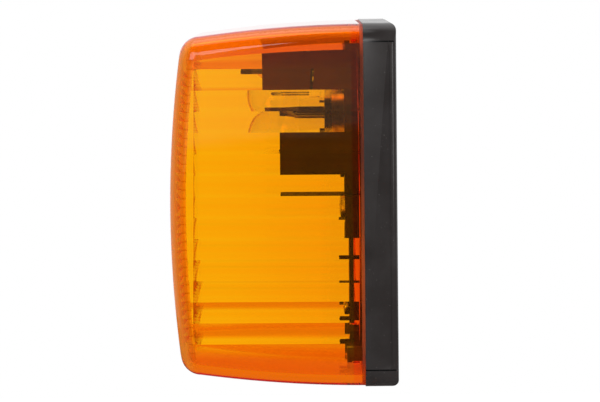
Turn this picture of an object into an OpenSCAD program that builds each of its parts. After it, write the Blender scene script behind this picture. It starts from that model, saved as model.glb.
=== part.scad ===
// Vehicle indicator lamp: an amber clip-on lens over a black base with a bayonet bulb.
// The origin is the centre of the mounting face. The lens faces -Y and +Z is up.
// A depth is a distance in front of the mounting face, so the point at depth d has y = -d.

/* [Overall] */
// Width of the lamp
lamp_w = 96; // [84:1:116]
// Height of the lamp
lamp_h = 106; // [100:1:128]
// Depth from the mounting face to the front of the lens
lamp_d = 66; // [60:1:80]
// Corner radius seen from the front
corner_r = 8; // [6:0.5:9]

/* [Base] */
// Depth of the base, up to the seam with the lens
base_d = 9.6; // [9.4:0.1:13]
// Thickness of the base floor
floor_t = 3; // [2.6:0.1:3.4]
// Thickness of the outer wall of the base
wall_t = 1.8; // [1.6:0.1:2.2]
// Radius of the rear edge of the base
rear_r = 2.2; // [1.5:0.1:2.4]
// Width of the sealing channel behind the lens
channel_w = 2; // [1.8:0.1:2.4]
// Thickness of the rib on the inner side of the channel
channel_rib_t = 1.5; // [1.2:0.1:2]
// Depth of the channel floor
channel_d = 4.5; // [4.4:0.1:5]
// Depth of the shallow panel pressed into each side of the base
panel_t = 0.35; // [0.2:0.05:0.5]

/* [Lens] */
// Wall thickness of the lens
lens_t = 2.4; // [2:0.1:3]
// Radius of the corners inside the lens, where its walls are thicker
inner_corner_r = 7; // [6:0.5:10]
// Step between the base and the lens at the seam
seam_step = 0.3; // [0.1:0.1:0.6]
// Radius of the curve of the top and bottom walls
wall_curve_r = 400; // [300:10:600]
// Draft of the side walls in degrees
side_draft = 2.6; // [1.5:0.1:3.5]
// Radius of the curve of the front
front_curve_r = 334; // [300:2:600]
// How far the foremost line of the front sits below the centre
front_drop = 1.8; // [0:0.1:4]
// Radius of the edge between the front and the walls
front_edge_r = 5; // [4.5:0.1:6]
// Distance from one side flute to the next
flute_pitch = 6.15; // [5.8:0.05:6.3]
// Radius of the face of a side flute
flute_r = 11; // [10:0.5:16]
// Number of flutes above the one at the middle
flutes_above = 7; // [3:1:7]
// Number of flutes below it
flutes_below = 6; // [3:1:6]
// Distance from one front prism to the next
prism_pitch = 2.5; // [2.2:0.1:3]
// Height of a front prism
prism_t = 1.1; // [0.6:0.1:1.4]

/* [Bulb] */
// Radius of the bulb glass
glass_r = 9.25; // [8:0.25:9.5]
// Wall thickness of the bulb glass
glass_t = 0.6; // [0.5:0.1:0.9]
// Length of the bulb from its contact to the tip of the glass
bulb_l = 36; // [34:0.5:38]
// Radius of the bulb cap
cap_r = 7.5; // [7.2:0.1:7.5]
// Length of the bulb cap
cap_l = 11.5; // [11:0.5:13]
// Height of the bulb above the centre of the lamp
bulb_z = 27.2; // [24:0.1:27.5]

/* [Carrier] */
// Distance between the cheeks of the bulb carrier
cheek_gap = 24; // [24:0.5:27]
// Thickness of the cheeks
cheek_t = 2; // [1.6:0.1:2.4]
// Depth of the front of the upper arms
upper_arm_d = 39; // [36:0.2:44]
// Depth of the front of the lower arms
lower_arm_d = 34; // [30:0.2:38]
// Height of each pair of arms
arm_h = 13; // [11:0.1:13.2]
// Width of the open window between the upper and the lower arms
window_h = 13.4; // [12:0.1:14]
// Thickness of the sheet metal heat shield
shield_t = 0.8; // [0.6:0.1:1]

/* [Fixings] */
// Distance between the two threaded inserts
insert_span = 64; // [60:1:70]
// Radius of the thread of an insert
insert_r = 2.1; // [2:0.1:2.6]
// Radius of the outside of an insert
insert_outer_r = 3.5; // [3.4:0.1:4]
// Length of an insert
insert_l = 8; // [6:0.5:8]
// Radius of the shank of the small screws
screw_r = 1.45; // [1.3:0.05:1.6]
// Radius of the cable bore in the grommet
cable_r = 3.2; // [3:0.1:3.6]

/* [Hidden] */
$fn = 96;

// Clearances
fit_gap = 0.1;
seat_gap = 0.3;
eps = 0.01;
least_corner_r = 0.8;

// Colours
black_plastic = [0.13, 0.12, 0.12];
amber = [0.99, 0.55, 0.02, 0.6];
brass = [0.8, 0.65, 0.33];
steel = [0.72, 0.73, 0.74];
rubber = [0.08, 0.08, 0.08];
brown = [0.35, 0.22, 0.13];
clear_glass = [0.85, 0.9, 0.92, 0.4];

// Lens
lens_w = lamp_w - 2 * seam_step;
lens_h = lamp_h - 2 * seam_step;
lens_l = lamp_d - base_d;
lens_corner_r = corner_r - seam_step;
tongue_outer = wall_t + fit_gap;
tongue_t = channel_w - 2 * fit_gap;
tongue_lap = 0.3;
flute_foot = 0.1;
flute_run = 0.8;
flute_start = 1.2;
flute_start_r = 1500;
gasket_t = 2;
channel_lip_d = base_d - 1.4;

// Base
boss_top_d = insert_l + 1;
rear_groove_inset = 5.5;
rear_groove_w = 3;
rear_groove_t = 1.5;
post_w = 5;
post_h = 6;
post_x = 24;
post_top_d = 14.7;
nose_h = 0.6;
nose_l = 1.5;
bead_h = 0.9;
bead_l = 1.4;
lens_inner_z = lens_h / 2 - lens_t;
post_outer_z = lens_inner_z - bead_h - seat_gap;
slice_t = 0.05;

// Carrier, measured from the bulb
window_drop = 1.85;
upper_rise = 0.9;
upper_z0 = bulb_z + window_h / 2 - window_drop;
upper_z1 = upper_z0 + arm_h + upper_rise;
lower_z1 = upper_z0 - window_h;
lower_z0 = lower_z1 - arm_h;
upper_wall_t = 1.8;
lower_wall_t = 0.9;
plate_d = floor_t + 3;
strip_t = 0.8;
strip_w = 4;
collar_floor_d = floor_t + 1.2;
shell_t = 0.55;
shell_inner_r = cap_r + 0.15;
shell_outer_r = shell_inner_r + shell_t;
shell_flange_r = shell_outer_r + 0.7;
shell_flange_w = 2;
shell_flange_t = 0.8;
collar_inner_r = shell_flange_r + fit_gap;
collar_outer_r = collar_inner_r + 2;
collar_top_d = 14.7;
shell_top_d = 18.4;
rivet_r = 1.3;
rivet_head_r = 2.2;
plunger_d = 6.2;
plunger_t = 1.1;
spring_hole_r = 3.2;
spring_r = 2.2;
spring_wire_r = 0.2;
spring_turns = 3;
ear_x = 18.2;
ear_r = 4.3;
ear_top_d = plate_d + 2.5;
screw_boss_r = 3.5;
screw_head_r = 2.8;
screw_head_t = 2;

// Bulb
bulb_contact_d = 8;
contact_r = 1.9;
bead_top_d = bulb_contact_d + 1.4;
bead_t = 1;
cap_d0 = bead_top_d - 0.4;
cap_d1 = cap_d0 + cap_l;
cap_t = 0.4;
bulb_tip_d = bulb_contact_d + bulb_l;
ball_d = bulb_tip_d - glass_r;
neck_r = cap_r - cap_t - fit_gap;
pin_d = cap_d0 + 4;
pin_r = 0.9;
pin_l = 1.1;
filament_d = ball_d - 1.5;
lead_r = 0.35;
lead_x = 3;
stem_top_d = cap_d1 + 4.5;

// Heat shield
shield_gap = 0.55;
shield_finger_l = 6.5;
shield_finger_h = 0.7;
shield_finger_x = 9.9;
shield_finger_drop = 2.6;
shield_flange_d = 24;
shield_z = bulb_z + glass_r + shield_gap;
ledge_w = 1.1;
ledge_t = 0.8;

// Terminal block and cable retainer
block_w = 22;
block_z1 = lower_z0 - 0.2;
block_z0 = block_z1 - 17.1;
block_top_d = 14.7;
terminal_x = 5.5;
terminal_z = (block_z0 + block_z1) / 2;
well_r = 3.7;
terminal_post_r = 3.5;
terminal_post_top_d = 11.5;
terminal_head_d = 13.5;
terminal_head_top_d = 16.4;
retainer_w = 14;
retainer_z1 = block_z0 - 0.4;
retainer_z0 = max(retainer_z1 - 29, -lens_inner_z + 2);
retainer_plate_d0 = 12.2;
retainer_plate_d1 = 13.5;
retainer_rib_d = 16.5;
retainer_rib_t = 0.9;
retainer_rib_drops = [1.3, 21, 27.05];
retainer_head_room = screw_head_r + seat_gap;
retainer_foot_h = 8;
retainer_screw_z = retainer_z0 + retainer_foot_h / 2;
retainer_boss_top_d = 8;
retainer_boss_r = 3;
cable_slot_r = 2.6;

// Grommet and breather
grommet_x = -22;
grommet_z = -24;
grommet_flange_r = 7;
grommet_neck_r = 5.2;
grommet_recess = 1.2;
grommet_inner_t = 1.8;
breather_x = 22;
breather_z = -24;
breather_r = 2.9;
breather_head_r = 4.5;

// A flat outline in X and Z, made solid from depth d0 to depth d1
module slab(d0, d1) {
    translate([0, -d0, 0])
        rotate([90, 0, 0])
            linear_extrude(d1 - d0)
                children();
}

// A round bar from depth d0 to depth d1
module bar(r, d0, d1, x = 0, z = 0) {
    translate([x, -d0, z])
        rotate([90, 0, 0])
            cylinder(r = r, h = d1 - d0);
}

// A block between two corners given as x, depth, z
module block(low, high) {
    translate([low[0], -high[1], low[2]])
        cube([high[0] - low[0], high[1] - low[1], high[2] - low[2]]);
}

// A solid of revolution about the bulb axis, with its outline in radius and depth
module turned() {
    translate([0, 0, bulb_z])
        rotate([90, 0, 0])
            rotate_extrude()
                children();
}

module rounded_rectangle(w, h, wanted_r) {
    r = max(wanted_r, least_corner_r);
    square([w - 2 * r, h], center = true);
    square([w, h - 2 * r], center = true);
    for (sx = [-1, 1], sz = [-1, 1])
        translate([sx * (w / 2 - r), sz * (h / 2 - r)])
            circle(r);
}

// The outline of the lamp, drawn in by an inset
module outline(inset) {
    rounded_rectangle(lamp_w - 2 * inset, lamp_h - 2 * inset, corner_r - inset);
}

module ring_outline(inset, width) {
    difference() {
        outline(inset);
        outline(inset + width);
    }
}

// The depth profile of the base, one way across, with round rear edges
module edge_profile(width) {
    translate([-width / 2, rear_r])
        square([width, base_d - rear_r]);
    translate([rear_r - width / 2, 0])
        square([width - 2 * rear_r, base_d]);
    for (s = [-1, 1])
        translate([s * (width / 2 - rear_r), rear_r])
            circle(rear_r);
}

module base_blank() {
    intersection() {
        slab(0, base_d)
            outline(0);
        rotate([180, 0, 0])
            linear_extrude(2 * lamp_h, center = true)
                edge_profile(lamp_w);
        rotate([180, -90, 0])
            linear_extrude(2 * lamp_w, center = true)
                edge_profile(lamp_h);
    }
}

// The shallow panel in the side of the base
module side_panel() {
    panel_r = 2;
    panel_rear_d = 1.9;
    panel_h = lamp_h - 10.6;
    for (s = [-1, 1])
        translate([s * (lamp_w / 2 - panel_t), 0, 0])
            rotate([90, 0, s * 90])
                linear_extrude(1)
                    translate([-s * (panel_rear_d + base_d / 2), 0])
                        rounded_rectangle(base_d, panel_h, panel_r);
}

// One catch that holds the lens, on the side of the base where z is positive
module catch_post() {
    block([-post_w / 2, floor_t - eps, post_outer_z - post_h], [post_w / 2, post_top_d, post_outer_z]);
    block(
        [-post_w / 2, post_top_d - nose_l, post_outer_z - eps],
        [post_w / 2, post_top_d, post_outer_z + nose_h + seat_gap]
    );
}

module base_housing() {
    blind_d = 1;
    color(black_plastic)
        difference() {
            union() {
                difference() {
                    base_blank();
                    slab(floor_t, base_d + 1)
                        outline(wall_t + channel_w + channel_rib_t);
                    slab(channel_d, base_d + 1)
                        ring_outline(wall_t, channel_w);
                    slab(channel_lip_d, base_d + 1)
                        outline(wall_t + channel_w / 2);
                }
                for (sx = [-1, 1], sz = [-1, 1])
                    translate([sx * post_x, 0, 0])
                        mirror([0, 0, sz < 0 ? 1 : 0])
                            catch_post();
                for (s = [-1, 1])
                    bar(insert_outer_r + 2, floor_t - eps, boss_top_d, s * insert_span / 2, 0);
                for (s = [-1, 1])
                    bar(screw_boss_r, floor_t - eps, plate_d, s * ear_x, bulb_z);
                bar(retainer_boss_r, floor_t - eps, retainer_boss_top_d, 0, retainer_screw_z);
                base_ribs();
            }
            side_panel();
            slab(-eps, rear_groove_t)
                ring_outline(rear_groove_inset, rear_groove_w);
            for (s = [-1, 1])
                bar(insert_outer_r, -eps, insert_l, s * insert_span / 2, 0);
            for (s = [-1, 1])
                bar(screw_r + fit_gap, blind_d, plate_d + 1, s * ear_x, bulb_z);
            bar(screw_r + fit_gap, blind_d, retainer_boss_top_d + 1, 0, retainer_screw_z);
            bar(grommet_neck_r + fit_gap, -1, floor_t + 1, grommet_x, grommet_z);
            bar(grommet_flange_r + fit_gap, -1, grommet_recess, grommet_x, grommet_z);
            bar(breather_r + fit_gap, -1, floor_t + 1, breather_x, breather_z);
        }
}

// Stiffening ribs on the floor, from the side bosses to the channel and across the bottom
module base_ribs() {
    rib_t = 1.2;
    rib_top_d = floor_t + 2.5;
    inner_x = lamp_w / 2 - wall_t - channel_w - channel_rib_t + eps;
    inner_z = lamp_h / 2 - wall_t - channel_w - channel_rib_t + eps;
    for (s = [-1, 1])
        translate([s > 0 ? 0 : -inner_x, 0, 0])
            block([s > 0 ? insert_span / 2 : 0, floor_t - eps, -rib_t / 2],
                [s > 0 ? inner_x : inner_x - insert_span / 2, rib_top_d, rib_t / 2]);
    for (s = [-1, 1], side = [-1, 1])
        translate([s * insert_span / 2, 0, side > 0 ? 0 : -inner_z])
            block([-rib_t / 2, floor_t - eps, side > 0 ? insert_outer_r + 1 : 0],
                [rib_t / 2, rib_top_d, side > 0 ? inner_z : inner_z - insert_outer_r - 1]);
}

// Inset of the top and bottom walls of the lens at a distance l in front of the seam
function wall_inset(l) = l * l / (2 * wall_curve_r);
// Inset of the side walls
function side_inset(l) = l * tan(side_draft);
// How far the front lies behind its foremost line at a height z
function front_fall(z) = (z + front_drop) * (z + front_drop) / (2 * front_curve_r);

// One ball of the round edge of the front
module edge_ball(x, z, r) {
    translate([x, front_edge_r - lamp_d + front_fall(z), z])
        sphere(r, $fn = 24);
}

// The outside of the lens drawn in by an inset, closed at the seam, with its corner radius from the front
module lens_solid(inset, plan_r) {
    edge_r = front_edge_r - inset;
    edge_l = lens_l - front_edge_r;
    edge_x = lens_w / 2 - side_inset(edge_l) - front_edge_r;
    edge_z = lens_h / 2 - wall_inset(edge_l) - front_edge_r;
    turn_r = plan_r - edge_r;
    hull() {
        for (k = [0:3])
            let (l = edge_l * k / 4)
                slab(base_d + l, base_d + l + slice_t)
                    rounded_rectangle(
                        lens_w - 2 * (side_inset(l) + inset),
                        lens_h - 2 * (wall_inset(l) + inset),
                        plan_r,
                        $fn = 32
                    );
        for (sx = [-1, 1], sz = [-1, 1], a = [0:45:90])
            let (x = edge_x - turn_r * (1 - cos(a)), z = edge_z - turn_r * (1 - sin(a)))
                edge_ball(sx * x, sz * z, edge_r);
        for (s = [-1, 1], k = [-1:1])
            edge_ball(s * edge_x, k * (edge_z - turn_r) / 2, edge_r);
    }
}

// Where a flute at a height z starts and ends, in front of the seam
function flute_first(z) = flute_start + z * z / (2 * flute_start_r);
function flute_last(z) = lens_l - front_edge_r + flute_run - front_fall(z);

// One flute, a long bar with a round face that follows the draft of the side wall
module flute(z) {
    root_t = 0.5;
    face_x = lens_w / 2 - lens_t - flute_foot - flute_sag();
    hull()
        for (l = [flute_first(z), flute_last(z)])
            translate([face_x - side_inset(l) + flute_r, -base_d - l, z])
                rotate([90, 0, 0])
                    linear_extrude(slice_t)
                        intersection() {
                            circle(flute_r);
                            translate([-flute_r - 1, -flute_pitch / 2 - eps])
                                square([1 + flute_sag() + root_t, flute_pitch + 2 * eps]);
                        }
}

function flute_sag() = flute_r - sqrt(flute_r * flute_r - flute_pitch * flute_pitch / 4);

module flutes() {
    for (side = [0, 1])
        mirror([side, 0, 0])
            for (k = [-flutes_below:flutes_above])
                flute(k * flute_pitch);
}

// Prisms across the inner side of the front, thicker towards the centre
module front_prisms() {
    root_t = 0.5;
    rows = floor((lens_h / 2 - corner_r - front_edge_r) / prism_pitch);
    width = lens_w - 2 * (side_inset(lens_l) + lens_t) + 1;
    for (side = [0, 1])
        mirror([0, 0, side])
            for (k = [0:rows - 1])
                let (
                    z0 = k * prism_pitch,
                    z1 = z0 + prism_pitch,
                    d = lamp_d - lens_t - front_fall(side > 0 ? -z1 : z1)
                )
                    translate([-width / 2, -d, 0])
                        rotate([90, 0, 90])
                            linear_extrude(width)
                                polygon([[-root_t, z0], [prism_t, z0], [0, z1], [-root_t, z1]]);
}

// Beads inside the lens that snap behind the catches of the base
module lens_beads() {
    for (sx = [-1, 1], sz = [0, 1])
        mirror([0, 0, sz])
            block(
                [sx * post_x - post_w / 2, post_top_d - nose_l - seat_gap - bead_l, lens_inner_z - bead_h],
                [sx * post_x + post_w / 2, post_top_d - nose_l - seat_gap, lens_inner_z + 0.5]
            );
}

module lens() {
    color(amber) {
        difference() {
            lens_solid(0, lens_corner_r);
            difference() {
                lens_solid(lens_t, inner_corner_r);
                flutes();
                front_prisms();
                lens_beads();
            }
            slab(base_d - 1, base_d + slice_t / 2)
                rounded_rectangle(lens_w - 2 * lens_t, lens_h - 2 * lens_t, inner_corner_r, $fn = 32);
        }
        slab(channel_d + gasket_t, base_d + tongue_lap)
            ring_outline(tongue_outer, tongue_t, $fn = 32);
    }
}

module lens_gasket() {
    color(rubber)
        slab(channel_d, channel_d + gasket_t)
            ring_outline(wall_t + fit_gap, channel_w - 2 * fit_gap);
}

module rear_gasket() {
    color(rubber)
        slab(0, rear_groove_t)
            ring_outline(rear_groove_inset + fit_gap, rear_groove_w - 2 * fit_gap);
}

module bulb_carrier() {
    half = cheek_gap / 2;
    slot_w = 0.9;
    slot_d = 24.6;
    color(black_plastic)
        difference() {
            union() {
                block([-half - cheek_t, floor_t, lower_z0], [half + cheek_t, plate_d, upper_z1]);
                bar(collar_outer_r, floor_t, collar_top_d, 0, bulb_z);
                for (s = [0, 1])
                    mirror([s, 0, 0])
                        carrier_side();
                block([-half - eps, floor_t, upper_z1 - upper_wall_t], [half + eps, upper_arm_d, upper_z1]);
                block([-half - eps, floor_t, lower_z0], [half + eps, lower_arm_d, lower_z0 + lower_wall_t]);
            }
            bar(collar_inner_r, collar_floor_d, collar_top_d + 1, 0, bulb_z);
            bar(spring_hole_r, 0, collar_floor_d + 1, 0, bulb_z);
            for (s = [-1, 1]) {
                bar(screw_boss_r + fit_gap, 0, plate_d, s * ear_x, bulb_z);
                bar(screw_r + fit_gap, 0, ear_top_d + 1, s * ear_x, bulb_z);
            }
            strip_channels();
            for (s = [-1, 1])
                translate([s * (half + cheek_t / 2), -slot_d, upper_z0 + arm_h * 0.42])
                    rotate([12, 0, 0])
                        cube([cheek_t + 1, slot_w, 7], center = true);
        }
}

// One cheek of the carrier with its ledges and its screw ear
module carrier_side() {
    half = cheek_gap / 2;
    block([half, floor_t, upper_z0], [half + cheek_t, upper_arm_d, upper_z1]);
    block([half, floor_t, lower_z0], [half + cheek_t, lower_arm_d, lower_z1]);
    block([half - ledge_w, plate_d - eps, shield_z - ledge_t], [half + eps, upper_arm_d, shield_z]);
    block(
        [half - ledge_w, plate_d - eps, shield_z + shield_t + fit_gap],
        [half + eps, upper_arm_d, shield_z + shield_t + fit_gap + ledge_t]
    );
    block([half, floor_t, bulb_z - ear_r], [ear_x, ear_top_d, bulb_z + ear_r]);
    bar(ear_r, floor_t, ear_top_d, ear_x, bulb_z);
}

// Room under the carrier and the terminal block for the two flat strips
module strip_channels() {
    slab(floor_t - 1, floor_t + strip_t + fit_gap) {
        supply_outline(fit_gap);
        earth_outline(fit_gap);
    }
    earth_tab(fit_gap);
}

// A flat sheet between the cheeks, with a flange on one side that runs out into a finger
module heat_shield() {
    half = cheek_gap / 2 - fit_gap;
    finger_z = shield_z - shield_finger_drop;
    x0 = shield_finger_x;
    x1 = shield_finger_x + shield_t;
    color(steel) {
        block([-half, collar_top_d + seat_gap, shield_z], [half, upper_arm_d, shield_z + shield_t]);
        block([x0, shield_flange_d, finger_z], [x1, upper_arm_d, shield_z + eps]);
        block(
            [x0, upper_arm_d - eps, finger_z],
            [x1, upper_arm_d + shield_finger_l, finger_z + shield_finger_h]
        );
    }
}

module socket_shell() {
    slot_w = 2.2;
    color(brass)
        difference() {
            turned() {
                translate([shell_inner_r, collar_floor_d])
                    square([shell_t, shell_top_d - collar_floor_d]);
                translate([shell_inner_r - shell_flange_w, collar_floor_d])
                    square([shell_flange_r - shell_inner_r + shell_flange_w, shell_flange_t]);
            }
            for (s = [-1, 1])
                translate([s * shell_outer_r, 0, bulb_z])
                    block([-2, pin_d - slot_w / 2, -slot_w / 2], [2, shell_top_d + 1, slot_w / 2]);
        }
}

module contact_plunger() {
    color(brown)
        turned()
            translate([rivet_r + fit_gap, plunger_d])
                square([shell_inner_r - seat_gap - rivet_r - fit_gap, plunger_t]);
}

module contact_rivet() {
    color(brass)
        turned() {
            translate([0, plunger_d + plunger_t])
                square([rivet_head_r, bulb_contact_d - plunger_d - plunger_t]);
            translate([0, plunger_d])
                square([rivet_r, plunger_t + eps]);
        }
}

// A coil of round wire about the bulb axis, with its ends closed
module coil(r, wire_r, d0, d1, turns) {
    steps = 20;
    sides = 8;
    rings = turns * steps;
    rise = d1 - d0 - 2 * wire_r;
    points = [
        for (k = [0:rings], j = [0:sides - 1])
            let (a = 360 * k / steps, b = 360 * j / sides, away = r + wire_r * cos(b))
                [away * cos(a), -d0 - wire_r - rise * k / rings - wire_r * sin(b), away * sin(a)]
    ];
    walls = [
        for (k = [0:rings - 1], j = [0:sides - 1])
            let (next = (j + 1) % sides)
                [k * sides + j, k * sides + next, (k + 1) * sides + next, (k + 1) * sides + j]
    ];
    start = [for (j = [0:sides - 1]) sides - 1 - j];
    end = [for (j = [0:sides - 1]) rings * sides + j];
    translate([0, 0, bulb_z])
        polyhedron(points, concat(walls, [start, end]));
}

module contact_spring() {
    color(steel)
        coil(spring_r, spring_wire_r, floor_t + strip_t, plunger_d, spring_turns);
}

module supply_outline(gap) {
    w = strip_w + 2 * gap;
    translate([-terminal_x - w / 2, terminal_z - 3.5 - gap])
        square([w, bulb_z - terminal_z + 3.5 + 2 + 2 * gap]);
    translate([-terminal_x, bulb_z - w / 2])
        square([terminal_x, w]);
    translate([0, bulb_z])
        circle(2.8 + gap);
}

module earth_outline(gap) {
    w = strip_w + 2 * gap;
    translate([terminal_x - w / 2, terminal_z - 3.5 - gap])
        square([w, bulb_z - terminal_z + 3.5 + 1.2 + 2 * gap]);
}

// The raised end of the earth strip, which meets the flange of the shell
module earth_tab(gap) {
    tab_l = 1.6;
    tab_z = bulb_z - 1.6;
    block(
        [terminal_x + 0.2 - gap, floor_t + strip_t - eps, tab_z - gap],
        [terminal_x + strip_w / 2 + gap, collar_floor_d + (gap > 0 ? 1 : 0), tab_z + tab_l + gap]
    );
}

module supply_strip() {
    color(brass)
        slab(floor_t, floor_t + strip_t)
            supply_outline(0);
}

module earth_strip() {
    color(brass) {
        slab(floor_t, floor_t + strip_t)
            earth_outline(0);
        earth_tab(0);
    }
}

module terminal_block() {
    color(black_plastic)
        difference() {
            block([-block_w / 2, floor_t, block_z0], [block_w / 2, block_top_d, block_z1]);
            for (s = [-1, 1]) {
                bar(well_r, 0, block_top_d + 1, s * terminal_x, terminal_z);
                translate([s * terminal_x, -terminal_post_top_d - 1, block_z0 - 1])
                    cylinder(r = 1.8, h = terminal_z - block_z0 + 1);
            }
            strip_channels();
        }
}

module terminal_posts() {
    foot_d = floor_t + strip_t;
    top_d = terminal_post_top_d;
    color(brass)
        for (s = [-1, 1])
            difference() {
                bar(terminal_post_r, foot_d, top_d, s * terminal_x, terminal_z);
                bar(screw_r + fit_gap, foot_d + 1, top_d + 1, s * terminal_x, terminal_z);
            }
}

// A screw with a round slotted head, along the depth
module screw(tip_d, head_d, head_top_d, head_r, x, z) {
    slot_w = 0.8;
    slot_t = 1;
    difference() {
        union() {
            bar(screw_r, tip_d, head_d + eps, x, z);
            bar(head_r, head_d, head_top_d, x, z);
        }
        block(
            [x - head_r - 1, head_top_d - slot_t, z - slot_w / 2],
            [x + head_r + 1, head_top_d + 1, z + slot_w / 2]
        );
    }
}

module terminal_screws() {
    head_r = terminal_post_r - 0.3;
    color(steel)
        for (s = [-1, 1])
            screw(6, terminal_head_d, terminal_head_top_d, head_r, s * terminal_x, terminal_z);
}

module bulb_cap() {
    color(steel)
        difference() {
            turned() {
                translate([cap_r - cap_t, cap_d0])
                    square([cap_t, cap_l]);
                translate([cap_r / 2, cap_d0])
                    square([cap_r / 2, cap_t]);
            }
            for (s = [-1, 1])
                translate([s * cap_r, -pin_d, bulb_z])
                    rotate([0, 90, 0])
                        cylinder(r = pin_r + fit_gap / 2, h = 2, center = true);
        }
}

module bulb_pins() {
    color(brass)
        for (s = [0, 1])
            mirror([s, 0, 0])
                translate([cap_r - cap_t, -pin_d, bulb_z])
                    rotate([0, 90, 0])
                        cylinder(r = pin_r, h = cap_t + pin_l);
}

module bulb_bead() {
    color(brown)
        turned()
            difference() {
                union() {
                    translate([0, cap_d0])
                        square([cap_r / 2 - fit_gap, bead_t]);
                    translate([0, cap_d0 + cap_t])
                        square([cap_r - cap_t - fit_gap, bead_t - cap_t]);
                }
                translate([-1, 0])
                    square([1 + contact_r + fit_gap, bead_top_d]);
            }
}

module bulb_contact() {
    color(steel)
        turned()
            translate([0, bulb_contact_d])
                square([contact_r, bead_top_d - bulb_contact_d]);
}

// The outline of the bulb glass, drawn in by an inset
module glass_outline(inset) {
    intersection() {
        union() {
            translate([0, ball_d])
                circle(glass_r - inset);
            translate([0, cap_d1 - 3 + inset])
                square([neck_r - inset, ball_d - cap_d1 + 3 - inset]);
        }
        translate([0, cap_d1 - 3])
            square([glass_r + 1, bulb_l]);
    }
}

module bulb_glass() {
    color(clear_glass)
        turned()
            difference() {
                glass_outline(0);
                glass_outline(glass_t);
            }
}

module bulb_stem() {
    color(clear_glass)
        translate([0, 0, bulb_z]) {
            bar(2.6, cap_d1 - 3 + glass_t, cap_d1 + 1.5);
            block([-3.6, cap_d1 + 1.5 - eps, -1.1], [3.6, stem_top_d, 1.1]);
        }
}

module bulb_leads() {
    color(steel)
        for (s = [-1, 1])
            bar(lead_r, stem_top_d, filament_d, s * lead_x, bulb_z);
}

// The coiled filament, an arch between the two leads
module bulb_filament() {
    color(steel)
        translate([0, -filament_d, bulb_z])
            rotate([180, 0, 0])
                rotate_extrude(angle = 180)
                    translate([lead_x, 0])
                        circle(0.5, $fn = 32);
}

module carrier_screws() {
    color(steel)
        for (s = [-1, 1])
            screw(1.5, ear_top_d, ear_top_d + screw_head_t, screw_head_r, s * ear_x, bulb_z);
}

module cable_retainer() {
    half = retainer_w / 2;
    foot_z1 = retainer_z0 + retainer_foot_h;
    color(black_plastic)
        difference() {
            union() {
                block([-half, retainer_plate_d0, retainer_z0], [half, retainer_plate_d1, retainer_z1]);
                block([-half, floor_t, retainer_z0], [half, retainer_plate_d1, foot_z1]);
                for (drop = retainer_rib_drops)
                    let (z = retainer_z1 - drop + retainer_rib_t / 2)
                        block([-half, floor_t, z - retainer_rib_t], [half, retainer_rib_d, z]);
            }
            block(
                [-retainer_head_room, retainer_plate_d1, retainer_screw_z - retainer_head_room],
                [retainer_head_room, retainer_rib_d + 1, retainer_screw_z + retainer_head_room]
            );
            bar(retainer_boss_r + fit_gap, 0, retainer_boss_top_d, 0, retainer_screw_z);
            bar(screw_r + fit_gap, 0, retainer_plate_d1 + 1, 0, retainer_screw_z);
            translate([0, -floor_t - cable_slot_r / 2, foot_z1 + 1])
                cylinder(r = cable_slot_r, h = lamp_h);
        }
}

module retainer_screw() {
    color(steel)
        screw(1.5, retainer_plate_d1, retainer_plate_d1 + screw_head_t, screw_head_r, 0, retainer_screw_z);
}

module threaded_inserts() {
    color(brass)
        for (s = [-1, 1])
            difference() {
                bar(insert_outer_r - fit_gap / 2, 0, insert_l, s * insert_span / 2, 0);
                bar(insert_r, -1, insert_l - 1, s * insert_span / 2, 0);
            }
}

module cable_grommet() {
    color(rubber)
        difference() {
            union() {
                bar(grommet_flange_r, 0, grommet_recess, grommet_x, grommet_z);
                bar(grommet_neck_r, 0, floor_t + grommet_inner_t, grommet_x, grommet_z);
                bar(grommet_flange_r, floor_t, floor_t + grommet_inner_t, grommet_x, grommet_z);
            }
            bar(cable_r, -1, floor_t + grommet_inner_t + 1, grommet_x, grommet_z);
        }
}

module breather_plug() {
    color(rubber)
        difference() {
            union() {
                bar(breather_r, 0.6, floor_t + eps, breather_x, breather_z);
                bar(breather_head_r, floor_t, floor_t + 1.4, breather_x, breather_z);
            }
            bar(1.6, 0, floor_t + 0.8, breather_x, breather_z);
        }
}

base_housing();
lens();
lens_gasket();
rear_gasket();
bulb_carrier();
heat_shield();
socket_shell();
contact_plunger();
contact_rivet();
contact_spring();
supply_strip();
earth_strip();
terminal_block();
terminal_posts();
terminal_screws();
bulb_cap();
bulb_pins();
bulb_bead();
bulb_contact();
bulb_glass();
bulb_stem();
bulb_leads();
bulb_filament();
carrier_screws();
cable_retainer();
retainer_screw();
threaded_inserts();
cable_grommet();
breather_plug();
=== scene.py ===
import math

import bmesh
import bpy
from mathutils import Matrix, Vector


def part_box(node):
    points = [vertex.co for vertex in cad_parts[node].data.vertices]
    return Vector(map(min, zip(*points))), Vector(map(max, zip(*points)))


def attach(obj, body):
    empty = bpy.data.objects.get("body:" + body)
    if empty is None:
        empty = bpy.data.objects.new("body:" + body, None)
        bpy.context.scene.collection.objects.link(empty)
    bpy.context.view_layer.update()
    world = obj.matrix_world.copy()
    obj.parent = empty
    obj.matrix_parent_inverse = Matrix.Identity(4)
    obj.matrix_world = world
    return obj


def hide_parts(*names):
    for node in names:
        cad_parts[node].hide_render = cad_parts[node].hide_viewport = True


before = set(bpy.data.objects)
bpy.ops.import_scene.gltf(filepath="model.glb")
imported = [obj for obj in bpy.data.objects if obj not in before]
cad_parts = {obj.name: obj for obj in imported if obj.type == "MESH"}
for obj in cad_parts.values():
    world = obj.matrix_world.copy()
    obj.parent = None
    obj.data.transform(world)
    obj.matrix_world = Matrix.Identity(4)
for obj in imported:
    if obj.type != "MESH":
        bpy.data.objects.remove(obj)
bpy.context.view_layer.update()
mm = 0.001  # sizes are in millimetres until a mesh is made

# A depth is a distance in front of the mounting face, so the point at depth d has y = -d

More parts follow.
